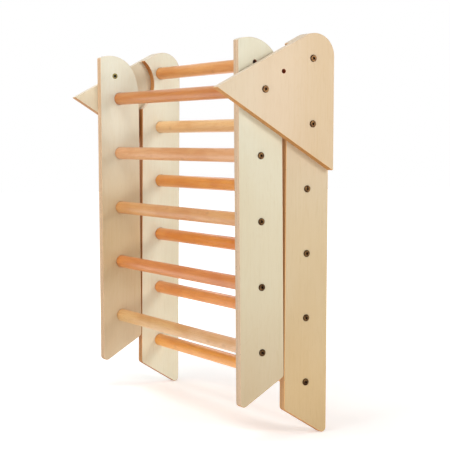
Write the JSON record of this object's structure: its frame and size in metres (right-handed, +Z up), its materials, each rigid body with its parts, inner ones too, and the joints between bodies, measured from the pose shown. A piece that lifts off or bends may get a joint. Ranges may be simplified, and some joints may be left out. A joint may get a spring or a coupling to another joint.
{
  "type": "folding climbing triangle",
  "caption": "Folding wooden climbing triangle: two plywood ladder frames with round rungs, hinged at the top between triangular side plates and shown folded flat together.",
  "frame": {"origin": "centre of the underside of the bounding box, in the folded position", "axes": "+X across the frames towards the right-hand plate, +Y from the front frame to the rear frame, +Z up"},
  "size_m": [0.803, 0.2978, 0.8995],
  "materials": {
    "birch_ply": "clear-lacquered plywood, satin, with visible ply layers on its edges",
    "beech": "clear-lacquered beech dowel, satin",
    "bolt_bronze": "dark bronze plating, satin",
    "insert_steel": "zinc plating"
  },
  "bodies": {
    "rear_frame": {"rear_board_left": "birch_ply", "rear_board_right": "birch_ply", "plate_left": "birch_ply", "plate_right": "birch_ply", "rear_rung_1": "beech", "rear_rung_2": "beech", "rear_rung_3": "beech", "rear_rung_4": "beech", "rear_rung_5": "beech", "rear_rung_6": "beech", "rear_rung_bolts": "bolt_bronze", "rear_rung_inserts": "insert_steel", "plate_bolts": "bolt_bronze"},
    "front_frame": {"front_board_left": "birch_ply", "front_board_right": "birch_ply", "front_rung_1": "beech", "front_rung_2": "beech", "front_rung_3": "beech", "front_rung_4": "beech", "front_rung_5": "beech", "front_rung_bolts": "bolt_bronze", "front_rung_inserts": "insert_steel", "pivot_bolts": "bolt_bronze", "lock_inserts": "insert_steel"}
  },
  "joints": [
    {"name": "fold_hinge", "type": "hinge", "parent": "rear_frame", "child": "front_frame", "pos_m": [0, -0.03011, 0.77186], "axis": [-1, 0, 0], "range_deg": [0, 62.93]}
  ]
}
